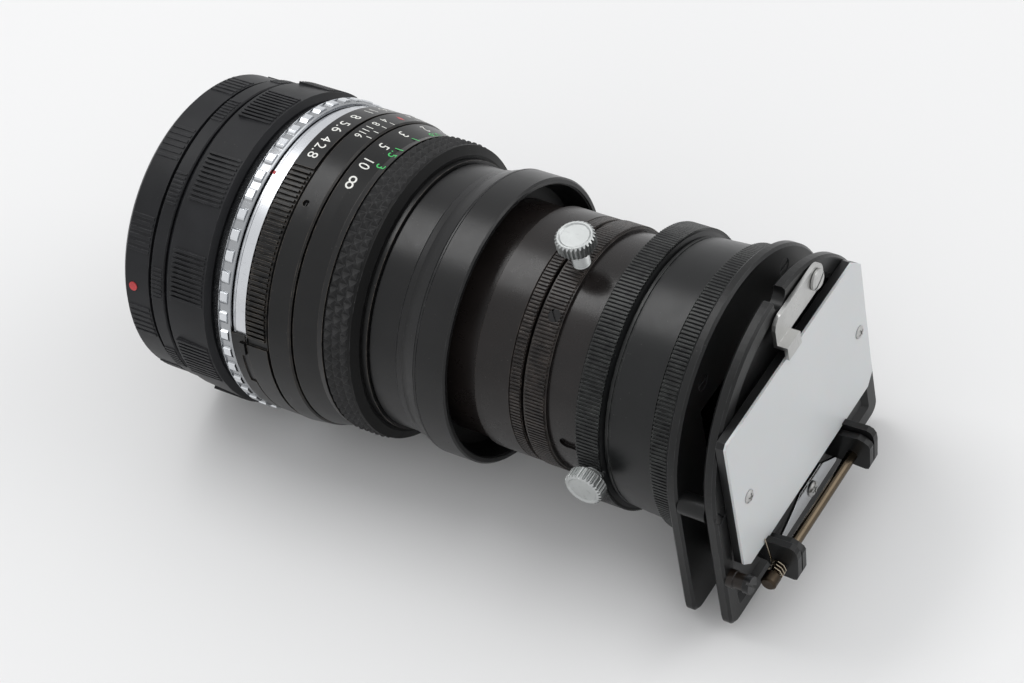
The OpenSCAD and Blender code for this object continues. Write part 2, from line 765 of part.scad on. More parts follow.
module iris_blades() {
    color("slategray")
    for (i = [0 : iris_count - 1])
        rotate([i * 360 / iris_count, 0, 0])
            along_x(x_iris + i * (blade_t + 0.12), x_iris + i * (blade_t + 0.12) + blade_t)
                difference() {
                    translate([iris_shift, 0])
                        circle(r = barrel_bore_r - iris_shift - 0.2, $fn = 64);
                    translate([0.2 - iris_open_r - iris_shift, 0])
                        circle(r = barrel_bore_r - front_wall * 0.67, $fn = 64);
                }
}

module iris_ring() {
    ring_back = x_iris - iris_ring_len - 0.4;
    color("slategray")
    union() {
        ring(ring_back, x_iris - 0.4, barrel_bore_r - run_fit, barrel_bore_r - iris_ring_w);
        rotate([60, 0, 0]) translate([ring_back + iris_ring_len / 2, barrel_bore_r - iris_ring_w * 0.6, 0])
            cube([iris_ring_len / 3, iris_ring_w / 3, iris_ring_w / 3]);
    }
}

// ---------- step ring, series ring and tubes ----------

module step_ring() {
    wall = step_r - 2.2;
    color("dimgray")
    lathe([[filter_r - 1.4, front_barrel_end - 3.2], [filter_r, front_barrel_end - 3.2],
           [filter_r, x_step - 0.25], [step_r - 0.2, x_step - 0.25], [step_r, x_step],
           [step_r, x_flare - 0.3], [step_r + 0.4, x_flare + 0.1],
           [step_r + 0.55, x_flare + flare_len * 0.25], [step_r + 1.2, x_flare + flare_len * 0.55],
           [series_r - 0.25, x_series - 0.7], [series_r, x_series - 0.35], [series_r, x_series],
           [wall, x_series], [wall, x_flare], [filter_r - 1.4, x_step]]);
}

module series_ring() {
    color("dimgray")
    lathe([[hub_r + seat, x_series], [series_r - 0.12, x_series], [series_r, x_series + 0.12],
           [series_r, x_series_end - 0.35], [series_r - 0.35, x_series_end],
           [series_recess_r + 0.3, x_series_end], [series_recess_r + 0.3, x_series_end - 0.35],
           [series_recess_r, x_series_end - 0.35], [series_recess_r - 1.0, x_series_end - 2.8],
           [series_recess_r - 1.4, x_series + 1.4], [hub_r + seat, x_series + 1.4]]);
}

module rear_tube() {
    color("#2b2523")
    difference() {
        union() {
            lathe([[tube_bore_r, x_series - 2], [neck_r + 2.0, x_series - 2], [neck_r + 2.0, x_series],
                   [hub_r, x_series], [hub_r, x_shoulder], [rear_tube_r - 0.1, x_shoulder],
                   [rear_tube_r, x_shoulder + 0.1], [rear_tube_r, x_rear_knurl - 0.3],
                   [rear_tube_r - 0.3, x_rear_knurl - 0.15], [rear_tube_r - 0.4, x_rear_end],
                   [tube_bore_r, x_rear_end]]);
            knurl_band(x_rear_knurl, x_rear_end - 0.05, rear_tube_r, knurl_depth, rear_knurl_n,
                       tube_bore_r + 1);
        }
        rod_x(x_shoulder + 1.2, x_rear_end + 1, neck_r + run_fit, smooth);
    }
}

module clamp_collar() {
    color("#2e2725")
    difference() {
        union() {
            knurl_band(x_collar + 0.35, x_tube - 0.35, collar_r, knurl_depth, collar_n, neck_r + seat);
            ring(x_collar, x_tube, collar_r - knurl_depth - 0.1, neck_r + seat);
        }
        rotate([121, 0, 0]) translate([x_upper_thumb, collar_r - 1.0, 0])
            rod_y(0, 3, 1.3);
        rotate([upper_thumb_angle, 0, 0]) translate([x_upper_thumb, neck_r - 1, 0])
            rod_y(0, collar_r, thumb_stem_r + thumb_gap);
    }
}

module collar_screw() {
    color("black")
    rotate([121, 0, 0]) translate([x_upper_thumb, collar_r - 1.0, 0])
        rotate([0, 0, 90]) rotate([40, 0, 0]) screw(1.27, 0.85, 0.6, -eps, 0.45);
}

module upper_thumbscrew() {
    color("gainsboro")
    rotate([upper_thumb_angle, 0, 0]) translate([x_upper_thumb, 0, 0])
        thumbscrew(collar_r, neck_r + 0.1, upper_stem_len);
}

module inner_tube() {
    slot_from = x_tube + 1.9;
    color("#2a2423")
    difference() {
        lathe([[tube_bore_r, x_shoulder + 2.0], [neck_r, x_shoulder + 2.0], [neck_r, x_tube],
               [slide_tube_r, x_tube], [slide_tube_r, tube_end - 0.4], [slide_tube_r - 0.4, tube_end],
               [tube_bore_r, tube_end]]);
        rotate([lower_thumb_angle, 0, 0]) {
            translate([slot_from + slot_w / 2, slide_tube_r - 0.7, -slot_w / 2])
                cube([slot_len - slot_w, 3, slot_w]);
            for (x = [slot_from + slot_w / 2, slot_from + slot_len - slot_w / 2])
                translate([x, slide_tube_r - 0.7, 0]) rod_y(0, 3, slot_w / 2);
        }
    }
}

module outer_barrel() {
    bore = slide_tube_r + run_fit;
    neck = taper_rear_r - 0.5;
    color("#26292a")
    difference() {
        union() {
            lathe([[bore, x_stage_collar], [stage_collar_r - 1.4, x_stage_collar],
                   [stage_collar_r - knurl_depth - 0.1, x_stage_collar + 1.0],
                   [stage_collar_r - knurl_depth - 0.1, x_taper - 0.9], [neck, x_taper - 0.35],
                   [neck, x_taper - 0.1], [taper_rear_r, x_taper], [taper_rear_r, x_taper + 0.5],
                   [taper_rear_r - 0.25, x_taper + 0.6], [taper_rear_r - 0.25, x_taper + 0.9],
                   [taper_rear_r, x_taper + 1.0], [taper_front_r, x_flange - 0.2],
                   [bore, x_flange - 0.2]]);
            knurl_band(x_stage_collar + 0.8, x_taper - 0.8, stage_collar_r, knurl_depth,
                       stage_knurl_n, bore + 1);
        }
        rotate([lower_thumb_angle, 0, 0]) translate([x_lower_thumb, slide_tube_r - 1, 0])
            rod_y(0, stage_collar_r, thumb_stem_r + thumb_gap);
    }
}

module lower_thumbscrew() {
    tip_r = slot_w / 2 - 0.2;
    color("gainsboro")
    rotate([lower_thumb_angle, 0, 0]) translate([x_lower_thumb, 0, 0])
        union() {
            thumbscrew(stage_collar_r, slide_tube_r + 0.3, lower_stem_len);
            rod_y(slide_tube_r - 0.5, slide_tube_r + 0.3 + eps, tip_r);
        }
}

module flange_ring() {
    bore = slide_tube_r + run_fit;
    color("#26292a")
    union() {
        lathe([[bore, x_flange - 0.2], [taper_front_r - 0.4, x_flange - 0.2],
               [flange_r - knurl_depth - 0.1, x_flange + 0.4],
               [flange_r - knurl_depth - 0.1, x_plate], [bore, x_plate]]);
        knurl_band(x_flange + 0.35, x_plate - 0.5, flange_r, knurl_depth, stage_knurl_n, bore + 1);
    }
}

// ---------- slide stage ----------

plate_screw_angles = [52, 128, 218, 322];

module window_cut(x0, x1, w, h) {
    translate([x0, -w / 2, -h / 2]) cube([x1 - x0, w, h]);
}

module rear_plate() {
    color("#1f1f20")
    difference() {
        plate_blank(x_plate, rear_plate_t);
        window_cut(x_plate - 1, x_slot + 1, window_w, window_h);
        for (a = plate_screw_angles)
            rotate([a, 0, 0]) translate([0, plate_screw_pcd, 0]) {
                rod_x(x_plate - 1, x_slot + 1, 0.85);
                rod_x(x_slot - 0.9, x_slot + 1, 1.65);
            }
    }
}

module plate_screws() {
    color("#151515")
    for (a = plate_screw_angles)
        rotate([a, 0, 0]) translate([x_slot - 0.88, plate_screw_pcd, 0])
            rotate([90 - a, 0, 0]) screw(1.6, 0.8, 0.8, rear_plate_t - 0.9, 0.4);
}

module spacer_posts() {
    color("#1b1b1c")
    for (side = [-1, 1])
        translate([0, side * post_y, 0])
            difference() {
                rod_x(x_slot, x_stage, post_r);
                rod_x(x_stage - stage_plate_t * 1.5, x_stage + 1, post_shank_r + 0.05);
            }
    for (side = [-1, 1])
        translate([0, side * rest_y, -rest_drop - post_r]) rod_x(x_slot, x_stage, post_r);
}

module post_screws() {
    color("#151515")
    for (side = [-1, 1])
        translate([x_rim - post_head_h - 0.05, side * post_y, 0])
            rotate([30, 0, 0])
                screw(post_head_r, post_head_h, post_shank_r, stage_plate_t * 1.5, post_head_r * 0.26);
}

// Extrudes a lug outline drawn in (x, z) from the rod's axis, over the lug's thickness along Y
module lug_at(y0, outline) {
    translate([hinge_x, y0 + lug_t, hinge_z]) rotate([90, 0, 0]) linear_extrude(height = lug_t)
        polygon(outline);
}

// A lug of the stage plate: it keeps inside the sweep of the door's lower edge
module stage_lug(y0) {
    back = -hinge_out - pocket_depth - 0.2;
    lug_at(y0, [[back, -2.4], [back, 4.6], [-3.3, 4.6], [1.6, 5.3], [2.9, 4.8], [3.8, 4.1],
                [4.1, 3.4], [3.7, -1.6], [3.3, -2.6], [2.6, -2.9], [0.2, -2.7]]);
}

// A lug of the door: its upper edge stands in front of the diffuser's lower edge
module door_lug(y0) {
    back = x_door - hinge_x;
    under = hinge_drop - 0.03;
    front = x_front - hinge_x + 0.05;
    lug_at(y0, [[back, 3.2], [back, hinge_drop + 0.8], [x_diffuser - hinge_x, hinge_drop + 0.8],
                [x_diffuser - hinge_x, under], [front, under], [front, 6.0], [2.6, 6.2],
                [3.5, 5.8], [4.0, 4.9], [4.1, 3.4], [3.7, -1.6], [3.3, -2.6], [2.6, -2.9],
                [0.2, -2.7], [-1.2, -2.2]]);
}

near_stage_lug_y = near_lug_y + lug_t + lug_gap;
far_door_lug_y = far_lug_y + lug_t + lug_gap;

module stage_plate() {
    floor_x = x_rim - pocket_depth;
    color("#1f1f20")
    difference() {
        union() {
            difference() {
                plate_blank(x_stage, stage_plate_t);
                hull() {
                    along_x(x_rim - eps, x_rim + 1) plate_outline(pocket_rim);
                    along_x(floor_x, x_rim) plate_outline(pocket_rim + 1.3);
                }
                window_cut(x_stage - 1, x_rim + 1, window_w, gate_h);
                for (side = [-1, 1])
                    translate([0, side * post_y, 0]) {
                        rod_x(x_stage - 1, x_rim + 1, post_shank_r + 0.05);
                        rod_x(x_rim - post_head_h - 0.07, x_rim + 1, post_head_r + 0.05);
                    }
            }
            translate([0, latch_y, latch_z]) rod_x(floor_x - 0.2, x_rim + latch_lift - 0.05, 2.4);
            translate([0, leaf_y, leaf_z]) rod_x(floor_x - 0.2, leaf_seat, leaf_boss_r);
            stage_lug(near_stage_lug_y);
            stage_lug(far_lug_y);
        }
        translate([0, notch_y, notch_z]) rod_x(x_stage - 1, x_rim + 1, notch_r);
        translate([x_stage - 1, notch_y - notch_r, notch_z]) cube([stage_plate_t + 2, 2 * notch_r, 5]);
        translate([hinge_x, 0, hinge_z])
            rod_y(near_stage_lug_y - 1, far_lug_y + lug_t + 1, rod_bore);
        translate([0, latch_y, latch_z]) rod_x(x_stage - 1, x_rim + 1, 0.8);
        translate([0, leaf_y, leaf_z]) rod_x(x_stage - 1, x_rim + 2, 0.7);
    }
}

stop_len = 3.4;

module stop_post() {
    color("#3a2f26")
    translate([0, stop_y, stop_z])
        difference() {
            union() {
                rod_x(x_rim, x_rim + 1.3, 1.75);
                rod_x(x_rim, x_rim + stop_len, 1.55);
            }
            rod_x(x_rim + 0.3, x_rim + stop_len + 1, 0.8);
        }
}

module stop_screw() {
    color("#101010")
    translate([x_rim + stop_len, stop_y, stop_z]) rotate([35, 0, 0]) screw(1.8, 1.3, 0.78, 2.8, 0.5);
}

module door_outline() {
    w = door_w / 2;
    h = door_h / 2;
    polygon([[-w + door_clip, -h], [w - door_clip, -h], [w, -h + door_clip], [w, h - door_clip_far],
             [w - door_clip_far, h], [-w + door_clip_top, h], [-w, h - door_clip_top],
             [-w, -h + door_clip]]);
}

screw_shift = 0.45;
screw_z = -0.3;

module door_frame() {
    color("#1c1c1d")
    difference() {
        union() {
            translate([0, door_y, door_z]) along_x(x_door, x_diffuser) door_outline();
            door_lug(near_lug_y);
            door_lug(far_door_lug_y);
        }
        window_cut(x_door - 1, x_diffuser + 1, window_w + 2, gate_h + 2);
        translate([hinge_x, 0, hinge_z]) rod_y(near_lug_y - 1, far_door_lug_y + lug_t + 1, rod_bore);
        for (side = [-1, 1])
            translate([0, screw_shift + side * screw_y, screw_z]) rod_x(x_door - 1, x_diffuser + 1, pan_shank_r + seat);
    }
}

module diffuser() {
    color("whitesmoke")
    difference() {
        translate([0, door_y, door_z]) along_x(x_diffuser, x_front) door_outline();
        for (side = [-1, 1])
            translate([0, screw_shift + side * screw_y, screw_z]) rod_x(x_diffuser - 1, x_front + 1, pan_shank_r + seat);
    }
}

module diffuser_screws() {
    color("silver")
    for (side = [-1, 1])
        translate([x_front, screw_shift + side * screw_y, screw_z]) rotate([side * 20, 0, 0])
            pan_screw(pan_r, pan_h, pan_shank_r, diffuser_t + door_t * 0.75);
}

lip_out = 0.25;
foot_left = -3.8;
foot_right = 1.0;

module latch() {
    x0 = x_rim + latch_lift;
    x1 = x0 + latch_t;
    lip_bottom = door_top + latch_clear;
    lip_x = x_front + lip_out;
    shelf = lip_bottom + 2.2;
    arm_right = latch_z - latch_half;
    color("silver")
    difference() {
        union() {
            along_x(x0, x1) {
                translate([latch_y, latch_z]) circle(r = latch_half, $fn = fine);
                polygon([[latch_y, latch_z + latch_half], [foot_left + 2.4, latch_z + latch_half],
                         [foot_left + 1.2, latch_z + latch_half - 0.3],
                         [foot_left + 0.4, latch_z + latch_half - 1.0],
                         [foot_left, latch_z + latch_half - 2.1], [foot_left, shelf],
                         [foot_right, shelf], [foot_right + 0.6, arm_right], [latch_y, arm_right]]);
            }
            translate([x0, foot_left, shelf]) cube([lip_x - x0, foot_right - foot_left, latch_t]);
            translate([lip_x - 0.1, foot_left, lip_bottom])
                cube([latch_t, foot_right - foot_left, shelf + latch_t - lip_bottom]);
        }
        translate([0, latch_y, latch_z]) rod_x(x0 - 1, x1 + 1, 1.1 + run_fit);
    }
}

module latch_screw() {
    top = x_rim + latch_lift + latch_t + 0.1;
    color("silver")
    translate([top, latch_y, latch_z])
        difference() {
            union() {
                lathe([[0, 0], [2.1, 0], [2.1, 0.5], [1.6, 0.85], [0, 0.95]]);
                rod_x(-latch_t - 0.15, eps, 1.1);
                rod_x(x_stage - top + 0.1, -latch_t, 0.78);
            }
            rotate([25, 0, 0]) translate([0.5, -3, -0.25]) cube([1, 6, 0.5]);
        }
}

cap_from = near_lug_y - 0.25 - spring_turns * spring_pitch - wire_d;
cap_len = 2.4;
coil_r = rod_r + wire_d / 2 + 0.3;

module hinge_rod() {
    color("#6b5a3c")
    translate([hinge_x, 0, hinge_z])
        rod_y(cap_from - 1, far_door_lug_y + lug_t + 2.4, rod_r);
}

module rod_cap() {
    color("#4d3d2a")
    translate([hinge_x, 0, hinge_z])
        difference() {
            rotate([0, 0, 90]) lathe([[0, cap_from - cap_len], [1.25, cap_from - cap_len],
                                      [1.6, cap_from - cap_len + 0.35], [1.6, cap_from], [0, cap_from]]);
            rod_y(cap_from - 1.01, cap_from + 1, rod_r + seat);
        }
}

module rod_nut() {
    y0 = far_door_lug_y + lug_t + 0.2;
    color("#4d3d2a")
    translate([hinge_x, 0, hinge_z])
        difference() {
            rotate([0, 0, 90]) lathe([[0, y0], [1.75, y0], [1.75, y0 + 1.2], [1.4, y0 + 1.6], [0, y0 + 1.6]]);
            rod_y(y0 - 1, y0 + 3, rod_r + seat);
        }
}

// Centre line of the hinge spring: a straight tail, the coil, and a leg that rests on the door
spring_y0 = cap_from + 0.1;
spring_steps = 8;
coil_points = [for (i = [0 : round(spring_turns * spring_steps)])
    let (turn = i / spring_steps, a = 180 + (turn - spring_turns) * 360)
        [coil_r * cos(a), spring_y0 + wire_d + turn * spring_pitch, coil_r * sin(a)]];
coil_last = coil_points[len(coil_points) - 1];
leg_x = x_front + wire_d / 2 + 0.06 - hinge_x;
leg_z = hinge_drop + 1.3;
spring_path = concat(
    [[coil_points[0][0], spring_y0, coil_points[0][2]]],
    coil_points,
    [for (s = [0.12, 0.5, 1]) [coil_last[0] + (leg_x - coil_last[0]) * s, coil_last[1], leg_z * s]]);

function unit(v) = v / norm(v);

// A tube of triangles along a list of points, with a frame carried from ring to ring
module tube(path, d, sides) {
    n = len(path);
    dirs = [for (i = [0 : n - 1])
        unit(path[min(i + 1, n - 1)] - path[max(i - 1, 0)])];
    rings = [for (i = [0 : n - 1])
        let (side = unit(cross(dirs[i], abs(dirs[i][1]) > 0.9 ? [1, 0, 0] : [0, 1, 0])),
             up = cross(side, dirs[i]))
            [for (k = [0 : sides - 1])
                path[i] + d / 2 * (cos(k * 360 / sides) * side + sin(k * 360 / sides) * up)]];
    points = concat([for (r = rings) for (p = r) p], [path[0], path[n - 1]]);
    faces = concat(
        [for (i = [0 : n - 2]) for (k = [0 : sides - 1])
            let (a = i * sides + k, b = i * sides + (k + 1) % sides) [a, b, b + sides]],
        [for (i = [0 : n - 2]) for (k = [0 : sides - 1])
            let (a = i * sides + k, b = i * sides + (k + 1) % sides) [a, b + sides, a + sides]],
        [for (k = [0 : sides - 1]) [n * sides, (k + 1) % sides, k]],
        [for (k = [0 : sides - 1])
            [n * sides + 1, (n - 1) * sides + k, (n - 1) * sides + (k + 1) % sides]]);
    polyhedron(points = points, faces = faces);
}

spring_gap = min([for (i = [0 : len(coil_points) - 1 - spring_steps + 1])
    for (k = [spring_steps - 1 : spring_steps]) if (i + k < len(coil_points))
        norm(coil_points[i + k] - coil_points[i])]) - wire_d;
echo(spring_gap = spring_gap);

module hinge_spring() {
    color("lightgray")
    translate([hinge_x, 0, hinge_z]) tube(spring_path, wire_d, 6);
}

module leaf_spring() {
    y_near = near_stage_lug_y + lug_t + 0.4;
    y_far = far_lug_y - 0.4;
    color("gainsboro")
    difference() {
        intersection() {
            translate([leaf_crown - leaf_bulge_r, 0, leaf_axis_z])
                difference() {
                    rod_y(y_near, y_far, leaf_bulge_r, 96);
                    rod_y(y_near - 1, y_far + 1, leaf_bulge_r - leaf_t, 96);
                }
            along_x(x_rim - 0.2, x_rim + 4)
                polygon([[y_near, leaf_z - 1.2], [y_near, leaf_z - 2.6], [y_far, leaf_z - 2.6],
                         [y_far, leaf_z - 1.2], [leaf_y + 4.6, leaf_z + 2.2],
                         [leaf_y - 3.8, leaf_z + 2.2]]);
        }
        translate([0, leaf_y, leaf_z]) rod_x(x_rim - 1, x_rim + 4, 0.8);
    }
}

module leaf_screw() {
    color("silver")
    translate([leaf_crown + 0.02, leaf_y, leaf_z]) pan_screw(1.6, 0.65, 0.68, 3.0);
}

camera_mount_ring();
mount_index_dot();
spacer_ring();
extension_barrel();
chrome_lock_ring();
lens_barrel();
silver_barrel();
switch_cover();
auto_switch();
aperture_ring();
scale_ring();
scale_screw();
focus_ring();
rubber_grip();
front_bezel();
rear_glass();
front_barrel();
front_glass();
iris_blades();
iris_ring();
step_ring();
series_ring();
rear_tube();
clamp_collar();
collar_screw();
upper_thumbscrew();
inner_tube();
outer_barrel();
lower_thumbscrew();
flange_ring();
rear_plate();
plate_screws();
spacer_posts();
post_screws();
stage_plate();
stop_post();
stop_screw();
door_frame();
diffuser();
diffuser_screws();
latch();
latch_screw();
hinge_rod();
rod_cap();
rod_nut();
hinge_spring();
leaf_spring();
leaf_screw();
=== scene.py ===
import json
import math

import bpy
from mathutils import Matrix, Vector


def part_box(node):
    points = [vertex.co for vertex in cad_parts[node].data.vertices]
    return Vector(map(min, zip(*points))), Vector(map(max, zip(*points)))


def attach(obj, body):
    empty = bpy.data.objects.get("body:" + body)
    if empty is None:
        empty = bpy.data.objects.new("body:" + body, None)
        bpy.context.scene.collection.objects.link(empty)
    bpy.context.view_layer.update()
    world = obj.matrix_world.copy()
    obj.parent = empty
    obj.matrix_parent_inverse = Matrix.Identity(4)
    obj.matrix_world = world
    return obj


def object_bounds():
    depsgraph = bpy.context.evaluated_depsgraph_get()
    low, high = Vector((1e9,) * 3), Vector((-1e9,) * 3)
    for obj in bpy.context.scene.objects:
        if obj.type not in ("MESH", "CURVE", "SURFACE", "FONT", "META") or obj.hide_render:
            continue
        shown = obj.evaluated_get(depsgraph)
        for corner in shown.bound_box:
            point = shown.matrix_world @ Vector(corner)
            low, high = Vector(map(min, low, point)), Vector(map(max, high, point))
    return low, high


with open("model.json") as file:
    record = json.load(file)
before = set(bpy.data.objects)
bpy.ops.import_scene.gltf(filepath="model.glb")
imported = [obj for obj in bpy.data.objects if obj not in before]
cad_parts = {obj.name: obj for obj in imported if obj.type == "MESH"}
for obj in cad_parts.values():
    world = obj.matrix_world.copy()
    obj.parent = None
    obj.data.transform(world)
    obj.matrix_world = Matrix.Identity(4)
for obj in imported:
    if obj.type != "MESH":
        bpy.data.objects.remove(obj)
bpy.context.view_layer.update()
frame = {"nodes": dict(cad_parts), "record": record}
MM = 0.001

# Sockets of a mix node by their place, as some share a name.
MIX_FACTOR = 0
MIX_A = 2
MIX_B = 3
MIX_COLOR_A = 6
MIX_COLOR_B = 7
MIX_COLOR_OUT = 2

# Sizes and tones that several finishes share, in metres and linear colour.
BEVEL_SAMPLES = 6
SOFT_EDGE = 0.00012
METAL_SOFT_EDGE = 0.0001
PAINT_WEAR_EDGE = 0.00016
METAL_GRIME_EDGE = 0.0002
TIP_WEAR_EDGE = 0.00025
DARK_WEAR = (0.10, 0.10, 0.105)
DUST_TONE = (0.42, 0.41, 0.38)
DUST_AMOUNT = 0.30
WEAR_AMOUNT = 0.55
SCRATCH_STRETCH = (900.0, 5200.0, 700.0)
LATHE_STRETCH = (5200.0, 26.0, 26.0)
RUB_STRETCH = (200.0, 1400.0, 90.0)
NOISE_LOW, NOISE_HIGH = 0.3, 0.7    # where nearly all of a noise's values lie
AXIS_BLEND = 0.1                    # mm over which the painted shade near the axis fades out

# ---------------------------------------------------------------- materials


class Nodes:
    """A small helper that builds the node tree of a material or of the world."""

    def __init__(self, owner):
        owner.use_nodes = True
        self.tree = owner.node_tree
        self.tree.nodes.clear()

    def add(self, kind, inputs=None, **props):
        node = self.tree.nodes.new(kind)
        for key, value in props.items():
            setattr(node, key, value)
        for key, value in (inputs or {}).items():
            self.put(node.inputs[key], value)
        return node

    def put(self, socket, value):
        if isinstance(value, bpy.types.NodeSocket):
            self.tree.links.new(value, socket)
        elif isinstance(value, (tuple, list)) and len(value) == 3 and socket.type == "RGBA":
            socket.default_value = (*value, 1.0)
        else:
            socket.default_value = value

    def math(self, op, a, b):
        return self.add("ShaderNodeMath", {0: a, 1: b}, operation=op).outputs[0]

    def times(self, a, b):
        return self.math("MULTIPLY", a, b)

    def plus(self, a, b):
        return self.math("ADD", a, b)

    def span(self, value, a, b, c=0.0, d=1.0):
        """The value's range a to b, laid over c to d and held there."""
        n = self.add("ShaderNodeMapRange", {"Value": value, "From Min": a, "From Max": b,
                                            "To Min": c, "To Max": d}, clamp=True)
        return n.outputs["Result"]


class Finish(Nodes):
    """The nodes of one material."""

    def __init__(self, name):
        self.mat = bpy.data.materials.new(name)
        super().__init__(self.mat)
        self.out = self.add("ShaderNodeOutputMaterial")
        self.coord = self.add("ShaderNodeTexCoord").outputs["Object"]

    def stretch(self, scale):
        """The object's coordinates, scaled along each axis."""
        n = self.add("ShaderNodeMapping", {"Vector": self.coord, "Scale": scale})
        return n.outputs["Vector"]

    def noise(self, scale, detail, rough=0.55, vector=None, distortion=0.0):
        n = self.add("ShaderNodeTexNoise", {"Vector": vector or self.coord, "Scale": scale,
                                            "Detail": detail, "Roughness": rough,
                                            "Distortion": distortion})
        return n.outputs["Fac"]

    def swing(self, noise, low=0.0, high=1.0):
        """A noise's usual range, laid over low to high."""
        return self.span(noise, NOISE_LOW, NOISE_HIGH, low, high)

    def patches(self, low, high, **noise):
        """1 in the patches where a noise is above high, 0 where it is below low."""
        return self.span(self.noise(**noise), low, high)

    def spots(self, scale, size):
        """Small round spots: 1 inside a spot and 0 outside it."""
        n = self.add("ShaderNodeTexVoronoi", {"Vector": self.coord, "Scale": scale})
        return self.span(n.outputs["Distance"], 0.0, size, 1.0, 0.0)

    def mix(self, fac, a, b):
        n = self.add("ShaderNodeMix", {MIX_FACTOR: fac, MIX_COLOR_A: a, MIX_COLOR_B: b},
                     data_type="RGBA")
        return n.outputs[MIX_COLOR_OUT]

    def specks(self, base, spots, patches, amount, tone):
        """Specks of dust laid over the base tone, gathered in patches."""
        return self.mix(self.times(self.times(spots, patches), amount), base, tone)

    def edges(self, radius, low=0.002, high=0.05):
        """1 on the sharp outer edges of the shape, 0 on its faces."""
        soft = self.soft_edge(radius)
        plain = self.add("ShaderNodeNewGeometry").outputs["Normal"]
        dot = self.add("ShaderNodeVectorMath", {0: soft, 1: plain}, operation="DOT_PRODUCT")
        return self.span(self.math("SUBTRACT", 1.0, dot.outputs["Value"]), low, high)

    def near_axis(self, radius):
        """1 nearer the optical axis than the radius in mm, 0 further out."""
        flat = self.add("ShaderNodeVectorMath", {0: self.coord, 1: (0.0, 1.0, 1.0)},
                        operation="MULTIPLY")
        size = self.add("ShaderNodeVectorMath", {0: flat.outputs["Vector"]}, operation="LENGTH")
        return self.span(size.outputs["Value"], radius * MM, (radius + AXIS_BLEND) * MM, 1.0, 0.0)

    def bump(self, height, distance, strength, normal=None):
        inputs = {"Height": height, "Distance": distance, "Strength": strength}
        if normal is not None:
            inputs["Normal"] = normal
        return self.add("ShaderNodeBump", inputs).outputs["Normal"]

    def soft_edge(self, radius):
        """The normal with the shape's edges rounded to the radius."""
        n = self.add("ShaderNodeBevel", {"Radius": radius}, samples=BEVEL_SAMPLES)
        return n.outputs["Normal"]

    def surface(self, **inputs):
        bsdf = self.add("ShaderNodeBsdfPrincipled")
        for key, value in inputs.items():
            self.put(bsdf.inputs[key.replace("_", " ")], value)
        self.tree.links.new(bsdf.outputs[0], self.out.inputs["Surface"])
        return self.mat


def shade(color, factor):
    return tuple(min(1.0, c * factor) for c in color)


def satin_paint(name, color, rough, wear=DARK_WEAR, lathe=0.0, grain=0.5, spec=0.30, coat=0.0,
                painted_shade_radius=0.0):
    """Black anodised or painted metal: cloudy tone, fine grain, lathe lines, dust and worn edges.
    Nearer the axis than the given radius, in mm, it is darker and duller: painted shade in a
    recess."""
    n = Finish(name)
    cloud = n.noise(scale=90.0, detail=4.0)
    fine = n.noise(scale=4200.0, detail=2.0)
    smear = n.noise(scale=260.0, detail=5.0, rough=0.7, distortion=0.6)
    base = n.mix(n.swing(cloud), shade(color, 0.75), shade(color, 1.3))
    base = n.mix(n.times(n.span(fine, 0.45, 0.8), 0.35), base, shade(color, 1.9))
    base = n.specks(base, n.spots(scale=900.0, size=0.09),
                    n.patches(0.5, 0.62, scale=140.0, detail=3.0), DUST_AMOUNT, DUST_TONE)
    worn = n.times(n.edges(PAINT_WEAR_EDGE),
                   n.patches(0.38, 0.66, scale=520.0, detail=5.0, rough=0.65))
    base = n.mix(n.times(worn, WEAR_AMOUNT), base, wear)
    roughness = n.plus(n.swing(smear, rough - 0.02, rough + 0.03), n.times(worn, -0.08))
    if painted_shade_radius:
        # Painted shade: nearer the axis than the given radius the paint is darker, rougher and less
        # glossy, as if in shadow.
        inside = n.near_axis(painted_shade_radius)
        base = n.mix(inside, base, shade(color, 0.5))
        roughness = n.plus(roughness, n.times(inside, 0.15))
        spec = n.span(inside, 0.0, 1.0, spec, spec * 0.4)
    height = n.times(fine, grain)
    if lathe:
        lines = n.noise(scale=1.0, detail=3.0, rough=0.6, vector=n.stretch(LATHE_STRETCH))
        height = n.plus(height, n.times(lines, lathe))
    normal = n.bump(height, distance=0.00002, strength=0.45, normal=n.soft_edge(SOFT_EDGE))
    return n.surface(Base_Color=base, Roughness=roughness, Specular_IOR_Level=spec,
                     Coat_Weight=coat, Coat_Roughness=0.12, Normal=normal)


def bright_metal(name, color, rough, lathe, stain, along=(4200.0, 60.0, 60.0), painted_shade_radius=0.0):
    """Polished or brushed metal with fine lines, hairline scratches and a faint film.
    Nearer the axis than the given radius, in mm, the metal is darker: painted shade in the hollows
    between raised parts."""
    n = Finish(name)
    cloud = n.noise(scale=160.0, detail=4.0, rough=0.6)
    lines = n.noise(scale=1.0, detail=4.0, rough=0.65, vector=n.stretch(along))
    scratch = n.patches(0.64, 0.7, scale=1.0, detail=2.0, rough=0.5,
                        vector=n.stretch(SCRATCH_STRETCH))
    base = n.mix(n.times(n.span(cloud, 0.42, 0.72), stain), color, shade(color, 0.62))
    base = n.mix(n.times(scratch, 0.22), base, shade(color, 0.5))
    grime = n.times(n.edges(METAL_GRIME_EDGE), n.patches(0.5, 0.7, scale=420.0, detail=4.0))
    base = n.mix(n.times(grime, 0.35), base, shade(color, 0.35))
    roughness = n.plus(n.swing(cloud, rough, rough + 0.1), n.times(scratch, 0.12))
    if painted_shade_radius:
        # Painted shade: a darker base colour nearer the axis than the given radius.
        base = n.mix(n.near_axis(painted_shade_radius), base, shade(color, 0.52))
    normal = n.bump(n.times(lines, lathe), distance=0.000012, strength=0.5,
                    normal=n.soft_edge(METAL_SOFT_EDGE))
    return n.surface(Base_Color=base, Metallic=1.0, Roughness=roughness, Normal=normal)


